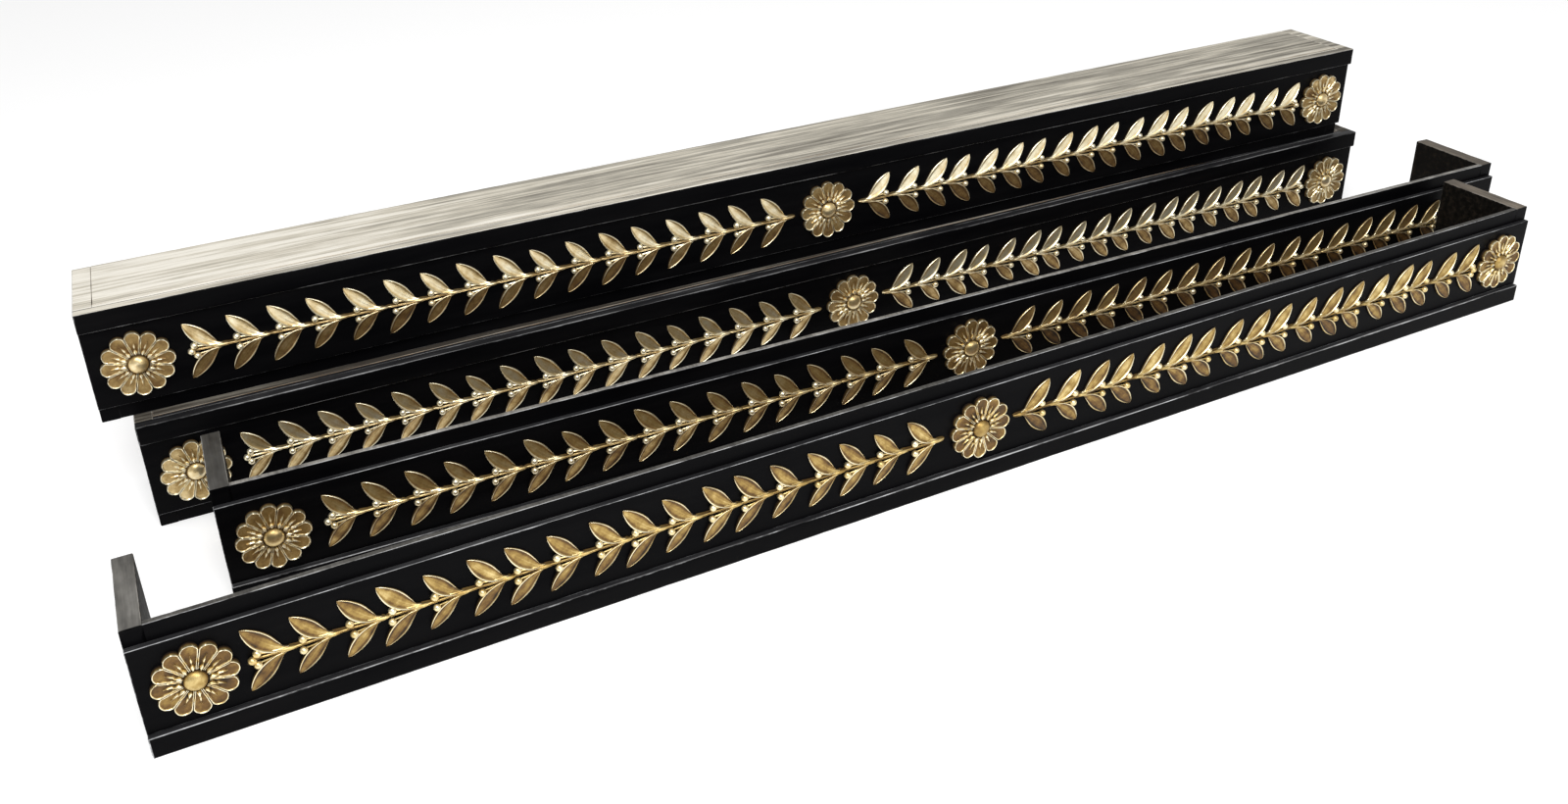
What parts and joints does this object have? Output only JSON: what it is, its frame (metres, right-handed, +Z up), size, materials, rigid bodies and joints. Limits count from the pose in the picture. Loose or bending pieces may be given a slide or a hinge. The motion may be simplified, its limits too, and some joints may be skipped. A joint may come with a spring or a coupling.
{
  "type": "window cornice set",
  "caption": "Set of long open-backed window cornices in black lacquered wood with stepped fronts, gilt laurel branches and rosettes; a stacked upright pair behind inverted ones.",
  "frame": {"origin": "middle of the footprint of the whole set, at floor level", "axes": "+X along the cornices towards the right seen from their fronts, +Y from the fronts back towards the wall side, +Z up"},
  "size_m": [1.897, 0.5084, 0.278],
  "materials": {
    "black_lacquer": "satin black lacquer on wood, rubbed pale along the arrises",
    "bare_deal": "unfinished softwood, weathered cream and grey",
    "gilt_metal": "old gilding with brown patina in the hollows and bright rims",
    "pin_brass": "plain drawn brass, dull",
    "nail_iron": "dark oxidised iron"
  },
  "bodies": {
    "rear_cornice": {"rear_fascia_board": "black_lacquer", "rear_frieze_panel": "black_lacquer", "rear_cap_moulding": "black_lacquer", "rear_return_left": "black_lacquer", "rear_return_right": "black_lacquer", "rear_top_board": "bare_deal", "rear_glue_blocks": "bare_deal", "rear_rosette_left": "gilt_metal", "rear_rosette_centre": "gilt_metal", "rear_rosette_right": "gilt_metal", "rear_laurel_left": "gilt_metal", "rear_laurel_right": "gilt_metal", "rear_mount_pins": "pin_brass", "rear_nails": "nail_iron"},
    "upper_cornice": {"upper_fascia_board": "black_lacquer", "upper_frieze_panel": "black_lacquer", "upper_cap_moulding": "black_lacquer", "upper_return_left": "black_lacquer", "upper_return_right": "black_lacquer", "upper_top_board": "bare_deal", "upper_glue_blocks": "bare_deal", "upper_rosette_left": "gilt_metal", "upper_rosette_centre": "gilt_metal", "upper_rosette_right": "gilt_metal", "upper_laurel_left": "gilt_metal", "upper_laurel_right": "gilt_metal", "upper_mount_pins": "pin_brass", "upper_nails": "nail_iron"},
    "middle_cornice": {"middle_fascia_board": "black_lacquer", "middle_frieze_panel": "black_lacquer", "middle_cap_moulding": "black_lacquer", "middle_return_left": "black_lacquer", "middle_return_right": "black_lacquer", "middle_top_board": "bare_deal", "middle_glue_blocks": "bare_deal", "middle_rosette_left": "gilt_metal", "middle_rosette_centre": "gilt_metal", "middle_rosette_right": "gilt_metal", "middle_laurel_left": "gilt_metal", "middle_laurel_right": "gilt_metal", "middle_mount_pins": "pin_brass", "middle_nails": "nail_iron"},
    "front_cornice": {"front_fascia_board": "black_lacquer", "front_frieze_panel": "black_lacquer", "front_cap_moulding": "black_lacquer", "front_return_left": "black_lacquer", "front_return_right": "black_lacquer", "front_top_board": "bare_deal", "front_glue_blocks": "bare_deal", "front_rosette_left": "gilt_metal", "front_rosette_centre": "gilt_metal", "front_rosette_right": "gilt_metal", "front_laurel_left": "gilt_metal", "front_laurel_right": "gilt_metal", "front_mount_pins": "pin_brass", "front_nails": "nail_iron"}
  },
  "joints": [
    {"name": "upper_lift", "type": "slide", "parent": "rear_cornice", "child": "upper_cornice", "axis": [0, 0, 1], "range_m": [0, 0.3]},
    {"name": "middle_lift", "type": "slide", "parent": "rear_cornice", "child": "middle_cornice", "axis": [0, 0, 1], "range_m": [0, 0.3]},
    {"name": "front_lift", "type": "slide", "parent": "rear_cornice", "child": "front_cornice", "axis": [0, 0, 1], "range_m": [0, 0.3]}
  ]
}
